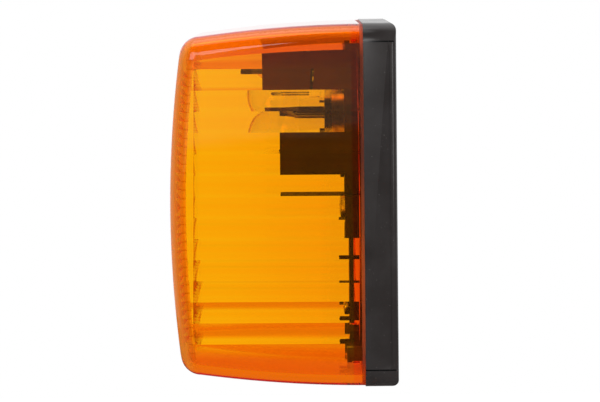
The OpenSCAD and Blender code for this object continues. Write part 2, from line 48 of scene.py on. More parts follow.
view = {
    "elevation": 3.6,  # degrees
    "roll": 0.57,
    "distance": 1105,
    "target": (0, -28.2, -1.21),
    "focalLength": 219.6,
    "sensorWidth": 36,
    "nearest": 10,  # nothing closer to the camera is drawn
}


def placeCamera():
    camera = bpy.data.objects.new("camera", bpy.data.cameras.new("camera"))
    bpy.context.scene.collection.objects.link(camera)
    camera.data.lens = view["focalLength"]
    camera.data.sensor_width = view["sensorWidth"]
    camera.data.clip_start = view["nearest"] * mm
    tilt = math.radians(view["elevation"])
    roll = math.radians(view["roll"])
    forward = Vector((-math.cos(tilt), 0, -math.sin(tilt)))
    right = Vector((0, 1, 0))
    up = right.cross(forward) * math.cos(roll) + right * math.sin(roll)
    turn = Matrix((forward.cross(up), up, -forward)).transposed().to_4x4()
    place = (Vector(view["target"]) - forward * view["distance"]) * mm
    camera.matrix_world = Matrix.Translation(place) @ turn
    bpy.context.scene.camera = camera


placeCamera()
print("camera placed")


# Shader nodes as expressions

class Value:  # an output socket that Python's operators work on
    def __init__(self, shader, socket):
        self.shader = shader
        self.socket = socket

    def __add__(self, other):
        return self.shader.maths("ADD", self, other)

    def __radd__(self, other):
        return self.shader.maths("ADD", other, self)

    def __sub__(self, other):
        return self.shader.maths("SUBTRACT", self, other)

    def __rsub__(self, other):
        return self.shader.maths("SUBTRACT", other, self)

    def __mul__(self, other):
        return self.shader.maths("MULTIPLY", self, other)

    def __rmul__(self, other):
        return self.shader.maths("MULTIPLY", other, self)

    def __abs__(self):
        return self.shader.maths("ABSOLUTE", self)

    def over(self, low, high):  # 0 below low, 1 above high and smooth between them
        settings = {"interpolation_type": "SMOOTHSTEP"}
        values = {"Value": self, "From Min": low, "From Max": high}
        return self.shader.node("ShaderNodeMapRange", settings, values)


class Shader:  # the node tree of a material or of the world
    def __init__(self, owner):
        owner.use_nodes = True
        self.owner = owner
        self.tree = owner.node_tree
        self.tree.nodes.clear()

    def node(self, kind, settings=None, values=None, output=0):
        made = self.tree.nodes.new(kind)
        for key, value in (settings or {}).items():
            setattr(made, key, value)
        for key, value in (values or {}).items():
            if isinstance(value, Value):
                self.tree.links.new(value.socket, made.inputs[key])
            else:
                made.inputs[key].default_value = value
        return Value(self, made.outputs[output])

    def maths(self, operation, *terms):
        return self.node("ShaderNodeMath", {"operation": operation}, dict(enumerate(terms)))

    def place(self, stretch=(1, 1, 1)):  # object coordinates in millimetres
        point = self.node("ShaderNodeTexCoord", output="Object")
        scale = tuple(s / mm for s in stretch)
        return self.node("ShaderNodeVectorMath", {"operation": "MULTIPLY"}, {0: point, 1: scale})

    def along(self, axis, point=None):  # one coordinate of the place, or of another vector
        return self.node("ShaderNodeSeparateXYZ", {}, {0: point or self.place()}, axis)

    def noise(self, size, detail=2, stretch=(1, 1, 1)):  # blotches of about that size
        values = {"Vector": self.place(stretch), "Scale": 1 / size, "Detail": detail}
        return self.node("ShaderNodeTexNoise", {}, values)

    def blend(self, share, first, second):
        return self.node("ShaderNodeMix", {"data_type": "RGBA"}, {0: share, 6: first, 7: second}, 2)

    def bump(self, height, depth):  # depth of the relief
        return self.node("ShaderNodeBump", {}, {"Height": height, "Distance": depth * mm, "Strength": 1})

    def mixed(self, share, first, second):  # of two surfaces
        return self.node("ShaderNodeMixShader", {}, {0: share, 1: first, 2: second})

    def ray(self, kind):
        return self.node("ShaderNodeLightPath", output=kind)

    def litThrough(self, body, colour):  # a surface whose shadow is only tinted
        passed = self.node("ShaderNodeBsdfTransparent", {}, {"Color": colour})
        return self.mixed(self.ray("Is Shadow Ray"), body, passed)

    def finish(self, surface, inside=None):
        isWorld = isinstance(self.owner, bpy.types.World)
        made = self.tree.nodes.new("ShaderNodeOutputWorld" if isWorld else "ShaderNodeOutputMaterial")
        self.tree.links.new(surface.socket, made.inputs["Surface"])
        if inside:
            self.tree.links.new(inside.socket, made.inputs["Volume"])
        return self.owner


def newShader(name):
    return Shader(bpy.data.materials.new(name))


def grey(level):
    return (level, level, level, 1)


# Sizes of the lens, which its finish uses as well

lensSize = {
    "front": 66,  # depth of its foremost line
    "frontDrop": 1.8,  # and how far below the middle it runs
    "frontCurve": 334,  # radii of the front and of the top and bottom
    "wallCurve": 400,
    "frontEdge": 5,  # radius of the edge round the front
    "sideDraft": 2.6,  # degrees
    "seamDepth": 9.6,
    "wall": 2.4,
    "corner": 7.7,
    "innerCorner": 7,
    "flutePitch": 6.15, "fluteRadius": 11, "flutesAbove": 7, "flutesBelow": 6, "fluteFoot": 0.1,
    "fluteStart": 1.2, "fluteStartCurve": 1500, "fluteRun": 0.8,
    "prismPitch": 2.5, "prismHeight": 1.1, "prismOverlap": 0.5,
    "root": 0.8,  # how far flutes and prisms reach into the wall behind them
    "tongueInset": 1.6, "tongueWall": 1.8, "tongueTip": 0.3, "tongueRoot": 0.2,
    "beadX": 24, "beadWidth": 5, "beadHeight": 0.9, "beadDepth": (11.5, 12.9),
    "beadSlope": 0.6, "beadTip": 0.3, "beadRoot": 1.6,
    "wallSteps": 20, "edgeSteps": 16, "sideSteps": 24, "cornerSteps": 16, "fluteSteps": 14,
    "sharpAngle": 8,
}


# Finishes

amberLook = {
    "tint": (0.9985, 0.865, 0, 1),  # colour and density of what the plastic absorbs
    "density": 1200,
    "ior": 1.49,
    "shadow": (0.99, 0.76, 0.17, 1),
    "flowSize": 9,  # slight waves in its faces
    "flowStretch": (1, 0.35, 1),
    "flowRelief": 0.02,
    "cloudSize": 14,
    "cloudRange": (0.35, 0.75),
    "clean": (1, 1, 0.96, 1),  # what its faces let through
    "cloud": (1, 0.985, 0.93, 1),
    "rear": (0.99, 0.9, 0.8, 1),  # near the base
    "rearY": (-60, -12),
    "cornerShade": (0.93, 0.54, 0.2, 1),  # painted deeper orange along its top and bottom, standing in for light's long way through the thick corners
    "cornerShadeTop": (38.5, 44.5),
    "cornerShadeBottom": (-45, -40),
    "rim": (0.95, 0.42, 0.15, 1),  # along the seam
    "rimY": (-13.4, -12.6),
    "footY": (-10.7, -10.4),  # the plain strip between the seam and the flutes
    "footRoughness": 0.5,
    "glow": (0.98, 0.36, 0.04, 1),  # light that the rounded front edges of its sides scatter
    "glowShare": 0.6,
    "glowSide": (39, 43),
    "glowBehind": (0.6, 4.2),
    "prismBehind": (1.7, 2.1, 4.4, 4.9),  # where behind the front the prisms begin and end
    "prismSide": (43.1, 43.9),
    "prismTop": (43, 46),
    "prismRoughness": 0.4,  # they blur what is seen through them
    "prismGlow": (1, 0.78, 0.35, 1),
    "prismGlowShare": 0.3,
    "prismStepShade": (0.55, 0.3, 0.1, 1),  # painted shade along their steps
    "prismStepShadeHalf": (0.08, 0.3),
}


def amberPlastic():
    look = amberLook
    s = newShader("amber plastic")
    cloud = s.noise(look["cloudSize"]).over(*look["cloudRange"])
    flow = s.noise(look["flowSize"], detail=1, stretch=look["flowStretch"])
    height = s.along("Z")
    y = s.along("Y")
    fromMiddle = height + lensSize["frontDrop"]
    behindFront = y + lensSize["front"] - fromMiddle * fromMiddle * (0.5 / lensSize["frontCurve"])
    side = abs(s.along("X"))
    prisms = behindFront.over(*look["prismBehind"][:2]) * (1 - behindFront.over(*look["prismBehind"][2:]))
    prisms = prisms * (1 - side.over(*look["prismSide"])) * (1 - abs(height).over(*look["prismTop"]))
    # painted deeper orange along the top and bottom, standing in for light's long way through the thick
    # corners
    cornerShade = height.over(*look["cornerShadeTop"]) + (1 - height.over(*look["cornerShadeBottom"]))
    foot = y.over(*look["footY"])
    tone = s.blend(cloud, look["clean"], look["cloud"])
    tone = s.blend(y.over(*look["rearY"]), tone, look["rear"])
    tone = s.blend(cornerShade, tone, look["cornerShade"])
    # painted shade along the prism steps
    fromStep = s.maths("PINGPONG", height, lensSize["prismPitch"] / 2)
    tone = s.blend(prisms * (1 - fromStep.over(*look["prismStepShadeHalf"])), tone, look["prismStepShade"])
    values = {
        "Base Color": s.blend(y.over(*look["rimY"]), tone, look["rim"]),
        "Roughness": prisms * look["prismRoughness"] + foot * look["footRoughness"],
        "IOR": look["ior"],
        "Transmission Weight": 1,
        "Normal": s.bump(flow, look["flowRelief"]),
    }
    body = s.node("ShaderNodeBsdfPrincipled", {}, values)
    rounded = side.over(*look["glowSide"]) * (1 - behindFront.over(*look["glowBehind"]))
    glow = s.node("ShaderNodeBsdfDiffuse", {}, {"Color": look["glow"]})
    body = s.mixed(rounded * look["glowShare"], body, glow)
    glow = s.node("ShaderNodeBsdfDiffuse", {}, {"Color": look["prismGlow"]})
    body = s.mixed(prisms * look["prismGlowShare"], body, glow)
    values = {"Color": look["tint"], "Density": look["density"]}
    inside = s.node("ShaderNodeVolumeAbsorption", {}, values)
    return s.finish(s.litThrough(body, look["shadow"]), inside)


glassLook = {
    "clear": (0.99, 0.995, 0.995, 1),
    "hazy": (0.95, 0.96, 0.955, 1),
    "hazeSize": 3,
    "hazeRange": (0.4, 0.8),
    "waveSize": 2.5,
    "waveRelief": 0.004,
    "ior": 1.5,
    "shadow": 0.96,
}


def clearGlass():
    s = newShader("bulb glass")
    haze = s.noise(glassLook["hazeSize"], detail=3).over(*glassLook["hazeRange"])
    waves = s.noise(glassLook["waveSize"], detail=1)
    values = {
        "Base Color": s.blend(haze, glassLook["clear"], glassLook["hazy"]),
        "Roughness": 0,
        "IOR": glassLook["ior"],
        "Transmission Weight": 1,
        "Normal": s.bump(waves, glassLook["waveRelief"]),
    }
    body = s.node("ShaderNodeBsdfPrincipled", {}, values)
    return s.finish(s.litThrough(body, grey(glassLook["shadow"])))


plasticShared = {
    "cloudRange": (0.3, 0.7), "cloudShare": 0.5,
    "speckSize": 0.5, "speckRange": (0.74, 0.78), "speckShare": 0.5,
}
plasticLooks = {
    "base plastic": {
        "dark": (0.031, 0.026, 0.025, 1), "light": (0.041, 0.036, 0.035, 1), "cloud": 11,
        "grain": 0.22, "relief": 0.008, "smooth": 0.14, "rough": 0.3, "speck": (0.16, 0.15, 0.14, 1),
        # the last three values place painted shade along the step at the ends of the side panels
        "panelStepShade": (47.35, 47.45, 47.8, 47.9), "panelStepShadeSide": (47.3, 47.5), "panelStepShadeTone": 0.002,
    },
    "carrier plastic": {
        "dark": (0.016, 0.0035, 0.003, 1), "light": (0.075, 0.026, 0.024, 1), "cloud": 8,
        "grain": 0.3, "relief": 0.02, "smooth": 0.42, "rough": 0.6, "speck": (0.12, 0.08, 0.07, 1),
        # this finish's upper half is painted lighter, standing in for light from above
        "paintedLitTop": (16, 34), "paintedLitTopShare": 0.8, "lines": 1.3, "lineRelief": 0.6, "lineTone": 0.06,
        "gloss": 0.12,
    },
    "sealing rubber": {
        "dark": (0.012, 0.012, 0.012, 1), "light": (0.026, 0.025, 0.024, 1), "cloud": 5,
        "grain": 0.15, "relief": 0.03, "smooth": 0.7, "rough": 0.88, "speck": (0.1, 0.1, 0.095, 1),
    },
    "brown laminate": {
        "dark": (0.09, 0.042, 0.018, 1), "light": (0.19, 0.1, 0.05, 1), "cloud": 1.6,
        "grain": 0.12, "relief": 0.015, "smooth": 0.45, "rough": 0.65, "speck": (0.3, 0.2, 0.12, 1),
    },
}


def mouldedPlastic(name):
    look = plasticLooks[name]
    s = newShader(name)
    cloud = s.noise(look["cloud"], detail=3).over(*plasticShared["cloudRange"])
    grain = s.noise(look["grain"])
    specks = s.noise(plasticShared["speckSize"], detail=1).over(*plasticShared["speckRange"])
    specks = specks * plasticShared["speckShare"]
    tone = cloud
    if "lines" in look:  # fine moulding lines across, and an upper half painted lighter, as painted light from above
        height = s.along("Z")
        line = s.maths("SINE", height * (2 * math.pi / look["lines"]))
        grain = grain + line * look["lineRelief"]
        paintedLitTop = look["paintedLitTopShare"]
        tone = height.over(*look["paintedLitTop"]) * paintedLitTop + cloud * (1 - paintedLitTop) + line * look["lineTone"]
    plain = s.blend(tone, look["dark"], look["light"])
    if "panelStepShade" in look:  # painted shade along the recessed step at the ends of the side panels
        side = abs(s.along("X"))
        height = abs(s.along("Z"))
        line = height.over(*look["panelStepShade"][:2]) * (1 - height.over(*look["panelStepShade"][2:]))
        plain = s.blend(line * side.over(*look["panelStepShadeSide"]), plain, grey(look["panelStepShadeTone"]))
    share = plasticShared["cloudShare"]
    wear = cloud * share + grain * (1 - share)
    values = {
        "Base Color": s.blend(specks, plain, look["speck"]),
        "Roughness": look["smooth"] + wear * (look["rough"] - look["smooth"]),
        "Normal": s.bump(grain, look["relief"]),
        "Specular IOR Level": look.get("gloss", 0.5),
    }
    return s.finish(s.node("ShaderNodeBsdfPrincipled", {}, values))


metalShared = {
    "tarnishSize": 2.4, "tarnishRange": (0.42, 0.68), "tarnishShare": 0.6,
    "brushSize": 0.35, "brushStretch": (0.08, 1, 1), "relief": 0.004,
}
metalLooks = {  # clean, dull, smooth, rough
    "brass": ((0.72, 0.5, 0.2, 1), (0.42, 0.26, 0.1, 1), 0.24, 0.48),
    "plated steel": ((0.62, 0.62, 0.6, 1), (0.4, 0.4, 0.37, 1), 0.22, 0.45),
    "sheet steel": ((0.1, 0.09, 0.085, 1), (0.05, 0.045, 0.04, 1), 0.4, 0.6),
    "nickel": ((0.66, 0.62, 0.55, 1), (0.46, 0.42, 0.36, 1), 0.16, 0.34),
    "solder": ((0.55, 0.55, 0.56, 1), (0.3, 0.3, 0.31, 1), 0.3, 0.6),
    "tungsten": ((0.32, 0.32, 0.34, 1), (0.2, 0.2, 0.21, 1), 0.35, 0.5),
}


def metal(name):
    clean, dull, smoothest, roughest = metalLooks[name]
    s = newShader(name)
    tarnish = s.noise(metalShared["tarnishSize"], detail=4).over(*metalShared["tarnishRange"])
    brushed = s.noise(metalShared["brushSize"], stretch=metalShared["brushStretch"])
    share = metalShared["tarnishShare"]
    wear = tarnish * share + brushed * (1 - share)
    values = {
        "Base Color": s.blend(tarnish, clean, dull),
        "Metallic": 1,
        "Roughness": smoothest + wear * (roughest - smoothest),
        "Normal": s.bump(brushed, metalShared["relief"]),
    }
    return s.finish(s.node("ShaderNodeBsdfPrincipled", {}, values))


finishes = {
    "amber_plastic": amberPlastic(),
    "clear_glass": clearGlass(),
    "black_plastic": mouldedPlastic("base plastic"),
    "carrier_plastic": mouldedPlastic("carrier plastic"),
    "seal_rubber": mouldedPlastic("sealing rubber"),
    "insulator": mouldedPlastic("brown laminate"),
    "brass": metal("brass"),
    "plated_steel": metal("plated steel"),
    "sheet_metal": metal("sheet steel"),
    "nickel": metal("nickel"),
    "solder": metal("solder"),
    "tungsten": metal("tungsten"),
}
print("finishes made")


# Shared ways of making a piece

def meshPiece(name, points, faces):  # points are in millimetres
    made = bpy.data.meshes.new(name)
    made.from_pydata([tuple(c * mm for c in p) for p in points], [], faces)
    piece = bpy.data.objects.new(name, made)
    bpy.context.scene.collection.objects.link(piece)
    turnFacesOut(piece)
    return piece


def turnFacesOut(piece):
    work = bmesh.new()
    work.from_mesh(piece.data)
    bmesh.ops.recalc_face_normals(work, faces=work.faces)
    work.to_mesh(piece.data)
    work.free()


def applyModifiers(piece):
    seen = bpy.context.evaluated_depsgraph_get()
    done = bpy.data.meshes.new_from_object(piece.evaluated_get(seen))
    piece.modifiers.clear()
    piece.data = done


def combine(piece, tool, operation):  # joins or cuts two closed pieces
    step = piece.modifiers.new("combine", "BOOLEAN")
    step.object = tool
    step.operation = operation
    step.solver = "MANIFOLD"
    applyModifiers(piece)
    bpy.data.objects.remove(tool)


def softEdges(piece, width, angle=35, segments=2):
    step = piece.modifiers.new("edges", "BEVEL")
    step.width = width * mm
    step.segments = segments
    step.limit_method = "ANGLE"
    step.angle_limit = math.radians(angle)
    step.use_clamp_overlap = True
    applyModifiers(piece)


def smooth(piece, angle=40):
    piece.data.shade_smooth()
    piece.data.set_sharp_from_angle(angle=math.radians(angle))


def finishPiece(piece, slot, *nodes):
    piece.data.materials.clear()
    piece.data.materials.append(finishes[slot])
    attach(piece, "root")
    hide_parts(*nodes)
    return piece


def joined(name, pieces):
    work = bmesh.new()
    for part in pieces:
        work.from_mesh(part.data)
        bpy.data.objects.remove(part)
    made = bpy.data.meshes.new(name)
    work.to_mesh(made)
    work.free()
    piece = bpy.data.objects.new(name, made)
    bpy.context.scene.collection.objects.link(piece)
    return piece


nodeMesh = {"weld": 0.002, "flatAngle": 1, "sharpAngle": 25}


def fromNode(node, name, width):  # the construction's own shape with its edges softened
    piece = bpy.data.objects.new(name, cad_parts[node].data.copy())
    bpy.context.scene.collection.objects.link(piece)
    work = bmesh.new()
    work.from_mesh(piece.data)
    bmesh.ops.remove_doubles(work, verts=work.verts, dist=nodeMesh["weld"] * mm)
    flat = math.radians(nodeMesh["flatAngle"])
    bmesh.ops.dissolve_limit(work, angle_limit=flat, verts=work.verts, edges=work.edges)
    work.to_mesh(piece.data)
    work.free()
    softEdges(piece, width)
    smooth(piece, nodeMesh["sharpAngle"])
    return piece


def filleted(points, radius, steps=4):  # a line with its inner corners rounded
    line = [Vector(p) for p in points]
    result = [line[0]]
    for before, corner, after in zip(line, line[1:], line[2:]):
        reach = min(radius, (before - corner).length / 2, (after - corner).length / 2)
        start = corner + (before - corner).normalized() * reach
        end = corner + (after - corner).normalized() * reach
        for k in range(steps + 1):
            t = k / steps
            result.append(start * (1 - t) ** 2 + corner * (2 * t * (1 - t)) + end * t ** 2)
    return result + [line[-1]]


def turned(name, profile, x=0, z=0, segments=64, closed=False):  # profile is a list of (radius, depth)
    points = []
    rows = []
    for radius, depth in profile:
        if radius < 1e-6:
            rows.append([len(points)] * segments)
            points.append((x, -depth, z))
            continue
        rows.append(range(len(points), len(points) + segments))
        for k in range(segments):
            a = 2 * math.pi * k / segments
            points.append((x + radius * math.cos(a), -depth, z + radius * math.sin(a)))
    faces = []
    following = list(zip(rows, rows[1:])) + ([(rows[-1], rows[0])] if closed else [])
    for first, second in following:
        for k in range(segments):
            n = (k + 1) % segments
            face = list(dict.fromkeys((first[k], first[n], second[n], second[k])))
            if len(face) > 2:
                faces.append(face)
    return meshPiece(name, points, faces)


def tube(name, path, radius, sides):  # a round wire along a list of points
    line = [Vector(p) for p in path]
    points = []
    side = None
    for k, here in enumerate(line):
        along = (line[min(k + 1, len(line) - 1)] - line[max(k - 1, 0)]).normalized()
        if side is None:
            side = along.orthogonal().normalized()
        side = (side - along * side.dot(along)).normalized()
        other = along.cross(side)
        for j in range(sides):
            a = 2 * math.pi * j / sides
            points.append(here + (side * math.cos(a) + other * math.sin(a)) * radius)
    faces = [tuple(range(sides)), tuple(range(len(points) - sides, len(points)))]
    for k in range(len(line) - 1):
        for j in range(sides):
            n = (j + 1) % sides
            faces.append((k * sides + j, k * sides + n, (k + 1) * sides + n, (k + 1) * sides + j))
    return meshPiece(name, points, faces)


def roundedRectangle(halfW, halfH, radius, perSide=20, perCorner=8):  # points (x, z) going round
    centres = ((1, 1), (-1, 1), (-1, -1), (1, -1))

    def onCorner(quarter, angle):
        sx, sz = centres[quarter % 4]
        x = sx * (halfW - radius) + radius * math.cos(angle)
        return (x, sz * (halfH - radius) + radius * math.sin(angle))

    points = []
    for quarter in range(4):
        points += [onCorner(quarter, math.pi / 2 * (quarter + k / perCorner)) for k in range(perCorner)]
        start = onCorner(quarter, math.pi / 2 * (quarter + 1))
        end = onCorner(quarter + 1, math.pi / 2 * (quarter + 1))
        for k in range(perSide):
            t = k / perSide
            points.append((start[0] * (1 - t) + end[0] * t, start[1] * (1 - t) + end[1] * t))
    return points


def stackedRings(name, rings, cap=True):  # rings of equally many (x, y, z), joined in order
    n = len(rings[0])
    points = [p for ring in rings for p in ring]
    faces = []
    for k in range(len(rings) - 1):
        for j in range(n):
            m = (j + 1) % n
            faces.append((k * n + j, k * n + m, (k + 1) * n + m, (k + 1) * n + j))
    if cap:
        faces.append(tuple(range(n)))
        faces.append(tuple(range((len(rings) - 1) * n, len(rings) * n)))
    return meshPiece(name, points, faces)


leastCorner = 0.5


def sweptRing(name, halfW, halfH, radius, section):  # section is a closed list of (inset, depth)
    rings = []
    for inset, depth in section:
        outline = roundedRectangle(halfW - inset, halfH - inset, max(radius - inset, leastCorner))
        rings.append([(x, -depth, z) for x, z in outline])
    return stackedRings(name, rings + rings[:1], cap=False)


# Lens

class Lens:
    def __init__(self):
        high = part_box("lens")[1]
        self.halfW = high.x / mm
        self.halfH = high.z / mm
        self.front = lensSize["front"]
        self.tongueDepth = -high.y / mm
        self.length = self.front - lensSize["seamDepth"]
        self.wallLength = self.length - lensSize["frontEdge"]

    def fall(self, z):  # how far the front lies behind its foremost line
        return (z + lensSize["frontDrop"]) ** 2 / (2 * lensSize["frontCurve"])

    def sideInset(self, run):  # of the side walls, at a distance from the seam
        return run * math.tan(math.radians(lensSize["sideDraft"]))

    def ring(self, inset, plan, share, bend=0, shrink=1):
        # share runs along the wall from the seam to the front edge, and bend round that edge in radians
        run = share * self.wallLength
        edge = lensSize["frontEdge"] - inset
        drawnIn = edge * (1 - math.cos(bend))
        halfW = self.halfW - self.sideInset(run) - (inset + drawnIn)
        halfH = self.halfH - run * run / (2 * lensSize["wallCurve"]) - (inset + drawnIn)
        ring = []
        outline = roundedRectangle(
            halfW, halfH, plan - drawnIn, lensSize["sideSteps"], lensSize["cornerSteps"])
        for x, z in outline:
            x, z = x * shrink, z * shrink
            if share == 1:
                depth = self.front - lensSize["frontEdge"] - self.fall(z) + edge * math.sin(bend)
            else:
                depth = lensSize["seamDepth"] + share * (self.wallLength - self.fall(z))
            ring.append((x, -depth, z))
        return ring

    def shell(self, name, inset, plan, behind=0):
        # the lens's outside as one closed solid, drawn in by an inset; plan is its corner radius
        wallSteps, edgeSteps = lensSize["wallSteps"], lensSize["edgeSteps"]
        rings = [self.ring(inset, plan, k / wallSteps) for k in range(wallSteps + 1)]
        if behind:
            rings.insert(0, [(x, y + behind, z) for x, y, z in rings[0]])
        rings += [self.ring(inset, plan, 1, math.pi / 2 * k / edgeSteps) for k in range(1, edgeSteps + 1)]
        rings += [self.ring(inset, plan, 1, math.pi / 2, 1 - k / edgeSteps) for k in range(1, edgeSteps)]
        return stackedRings(name, rings)

    def comb(self, side):  # all the flutes of one side wall as one solid
        pitch = lensSize["flutePitch"]
        radius = lensSize["fluteRadius"]
        steps = lensSize["fluteSteps"]
        top = (lensSize["flutesAbove"] + 0.5) * pitch
        count = lensSize["flutesAbove"] + lensSize["flutesBelow"] + 1
        profile = []
        for k in range(count * steps + 1):
            fromCrest = (k % steps / steps - 0.5) * pitch
            sag = math.sqrt(radius ** 2 - fromCrest ** 2) - math.sqrt(radius ** 2 - pitch ** 2 / 4)
            profile.append((sag, top - k * pitch / steps))
        profile += [(-lensSize["root"], profile[-1][1]), (-lensSize["root"], top)]
        rings = []
        for k in range(lensSize["wallSteps"] + 1):
            ring = []
            for sag, z in profile:
                start = lensSize["fluteStart"] + z * z / (2 * lensSize["fluteStartCurve"])
                end = self.wallLength + lensSize["fluteRun"] - self.fall(z)
                run = start + k / lensSize["wallSteps"] * (end - start)
                x = self.halfW - self.sideInset(run) - lensSize["wall"] - lensSize["fluteFoot"] - sag
                ring.append((side * x, -lensSize["seamDepth"] - run, z))
            rings.append(ring)
        return stackedRings("comb", rings)

    def prisms(self):  # the row of prisms on the inner side of the front
        pitch = lensSize["prismPitch"]
        wall = lensSize["wall"]
        rows = int((self.halfH - lensSize["corner"] - lensSize["frontEdge"]) / pitch)
        halves = []
        for side in (-1, 1):
            half = []
            for k in range(rows):
                z = side * (k + 1) * pitch
                foot = wall + self.fall(z)
                half += [(foot + lensSize["prismHeight"], side * k * pitch), (foot, z)]
            halves.append(half)
        lower, upper = halves
        end = rows * pitch
        outside = [(wall + self.fall(z) - lensSize["root"], z) for z in (end, end / 2, 0, -end / 2, -end)]
        line = list(reversed(lower))[:-1] + upper + outside
        reach = self.halfW - self.sideInset(self.length) - wall + lensSize["prismOverlap"]
        return stackedRings("prisms", [[(x, -self.front + d, z) for d, z in line] for x in (-reach, reach)])

    def beads(self):  # they snap behind the catch posts of the base
        half = lensSize["beadWidth"] / 2
        first, last = lensSize["beadDepth"]
        slope = lensSize["beadSlope"]
        wall = self.halfH - lensSize["wall"]
        inner = wall - lensSize["beadHeight"]
        outer = inner + lensSize["beadRoot"]
        line = [(wall, first - slope), (inner, first), (inner, last - lensSize["beadTip"])]
        line += [(outer, last + slope), (outer, first - slope)]
        made = []
        for x in (-lensSize["beadX"], lensSize["beadX"]):
            for up in (-1, 1):
                rings = [[(x + side * half, -d, up * z) for z, d in line] for side in (-1, 1)]
                made.append(stackedRings("bead", rings))
        return made

    def tongue(self):
        first = self.tongueDepth
        last = lensSize["seamDepth"] + lensSize["tongueRoot"]
        near = lensSize["tongueInset"]
        far = near + lensSize["tongueWall"]
        tip = lensSize["tongueTip"]
        section = [(near + tip, first), (near, first + tip), (near, last)]
        section += [(far, last), (far, first + tip), (far - tip, first)]
        return sweptRing("tongue", self.halfW, self.halfH, lensSize["corner"], section)

    def make(self):
        lens = self.shell("lens_body", 0, lensSize["corner"])
        cavity = self.shell("cavity", lensSize["wall"], lensSize["innerCorner"], behind=1)
        for tool in [self.comb(-1), self.comb(1), self.prisms()] + self.beads():
            combine(cavity, tool, "DIFFERENCE")
        combine(lens, cavity, "DIFFERENCE")
        combine(lens, self.tongue(), "UNION")
        turnFacesOut(lens)
        smooth(lens, lensSize["sharpAngle"])
        finishPiece(lens, "amber_plastic", "lens")


Lens().make()
print("lens made")


# Base and its seals, which have a hollow between two lips

baseEdge = 0.14
sealSizes = {
    "rear_gasket": {
        "name": "rear_seal", "width": 2.8, "corner": 2.4, "hollow": 0.35, "lip": (0.25, 0.38),
        "lipsBehind": True, "rounding": 0.25, "steps": 3,
    },
    "lens_gasket": {
        "name": "lens_seal", "width": 1.8, "corner": 6.1, "hollow": 0.25, "lip": (0.3, 0.4),
        "lipsBehind": False, "rounding": 0.15, "steps": 2,
    },
}


def makeBase():
    finishPiece(fromNode("base_housing", "base_body", baseEdge), "black_plastic", "base_housing")


def makeSeals():
    for node, size in sealSizes.items():
        low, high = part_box(node)
        plain, lips = -high.y / mm, -low.y / mm
        floor = lips - size["hollow"]
        if size["lipsBehind"]:
            plain, lips = lips, plain
            floor = lips + size["hollow"]
        width = size["width"]
        crest, foot = (share * width for share in size["lip"])
        hollow = [(crest, lips), (foot, floor), (width - foot, floor), (width - crest, lips)]
        if size["lipsBehind"]:
            section = [(0, lips), (0, plain), (width, plain), (width, lips)] + hollow[::-1]
        else:
            section = [(0, plain), (0, lips)] + hollow + [(width, lips), (width, plain)]
        ring = sweptRing(size["name"], high.x / mm, high.z / mm, size["corner"], section)
        softEdges(ring, size["rounding"], angle=40, segments=size["steps"])
        smooth(ring)
        finishPiece(ring, "seal_rubber", node)


makeBase()
makeSeals()

softened = {  # node: name, edge width, finish
    "bulb_carrier": ("carrier_body", 0.16, "carrier_plastic"),
    "terminal_block": ("terminal_body", 0.2, "carrier_plastic"),
    "cable_retainer": ("retainer_body", 0.16, "carrier_plastic"),
    "heat_shield": ("shield_plate", 0.2, "sheet_metal"),
    "socket_shell": ("shell_sleeve", 0.12, "brass"),
    "supply_strip": ("supply_bar", 0.12, "brass"),
    "earth_strip": ("earth_bar", 0.12, "brass"),
    "terminal_posts": ("post_pair", 0.25, "brass"),
    "contact_plunger": ("plunger_disc", 0.15, "insulator"),
    "contact_rivet": ("rivet_body", 0.2, "brass"),
    "bulb_cap": ("cap_sleeve", 0.1, "nickel"),
    "bulb_pins": ("pin_pair", 0.25, "brass"),
    "bulb_bead": ("bead_disc", 0.12, "insulator"),
    "bulb_stem": ("stem_body", 0.4, "clear_glass"),
}
for nodeName, (pieceName, edgeWidth, slotName) in softened.items():
    finishPiece(fromNode(nodeName, pieceName, edgeWidth), slotName, nodeName)
print("base, seals, carrier and fittings made")


# Bulb and its spring

bulb = {
    "neck": 7,
    "neckDepth": 17.5,
    "ball": 9.25,
    "ballDepth": 34.75,
    "glass": 0.6,
    "outlineSteps": 60,
    "filamentDepth": 33.25,
    "coilRadius": 0.32,
    "coilTurns": 26,
    "coilSteps": 14,  # a turn
    "wire": 0.06,
    "leadX": 3,
    "leadDepths": (25.05, 32.05, 33.35),
    "leadRadius": 0.24,
}
bulb["z"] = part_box("bulb_glass")[1].z / mm - bulb["ball"]


def glassOutline(inset):  # from the axis at the neck to the axis at the tip, as (radius, depth)
    neck = bulb["neck"] - inset
    ball = bulb["ball"] - inset
    first = bulb["neckDepth"] + inset
    tip = bulb["ballDepth"] + ball
    line = []
    for k in range(bulb["outlineSteps"]):
        depth = first + (tip - first) * k / bulb["outlineSteps"]
        fromBall = depth - bulb["ballDepth"]
        sphere = math.sqrt(max(ball * ball - fromBall * fromBall, 0))
        line.append((max(sphere, neck if fromBall < 0 else 0), depth))
    return [(0, first)] + line + [(0, tip)]


def makeGlass():
    shell = turned("outer", glassOutline(0), z=bulb["z"], segments=96)
    hollow = turned("inner", glassOutline(bulb["glass"]), z=bulb["z"], segments=96)
    hollow.data.flip_normals()
    piece = joined("bulb_envelope", [shell, hollow])
    smooth(piece)
    finishPiece(piece, "clear_glass", "bulb_glass")


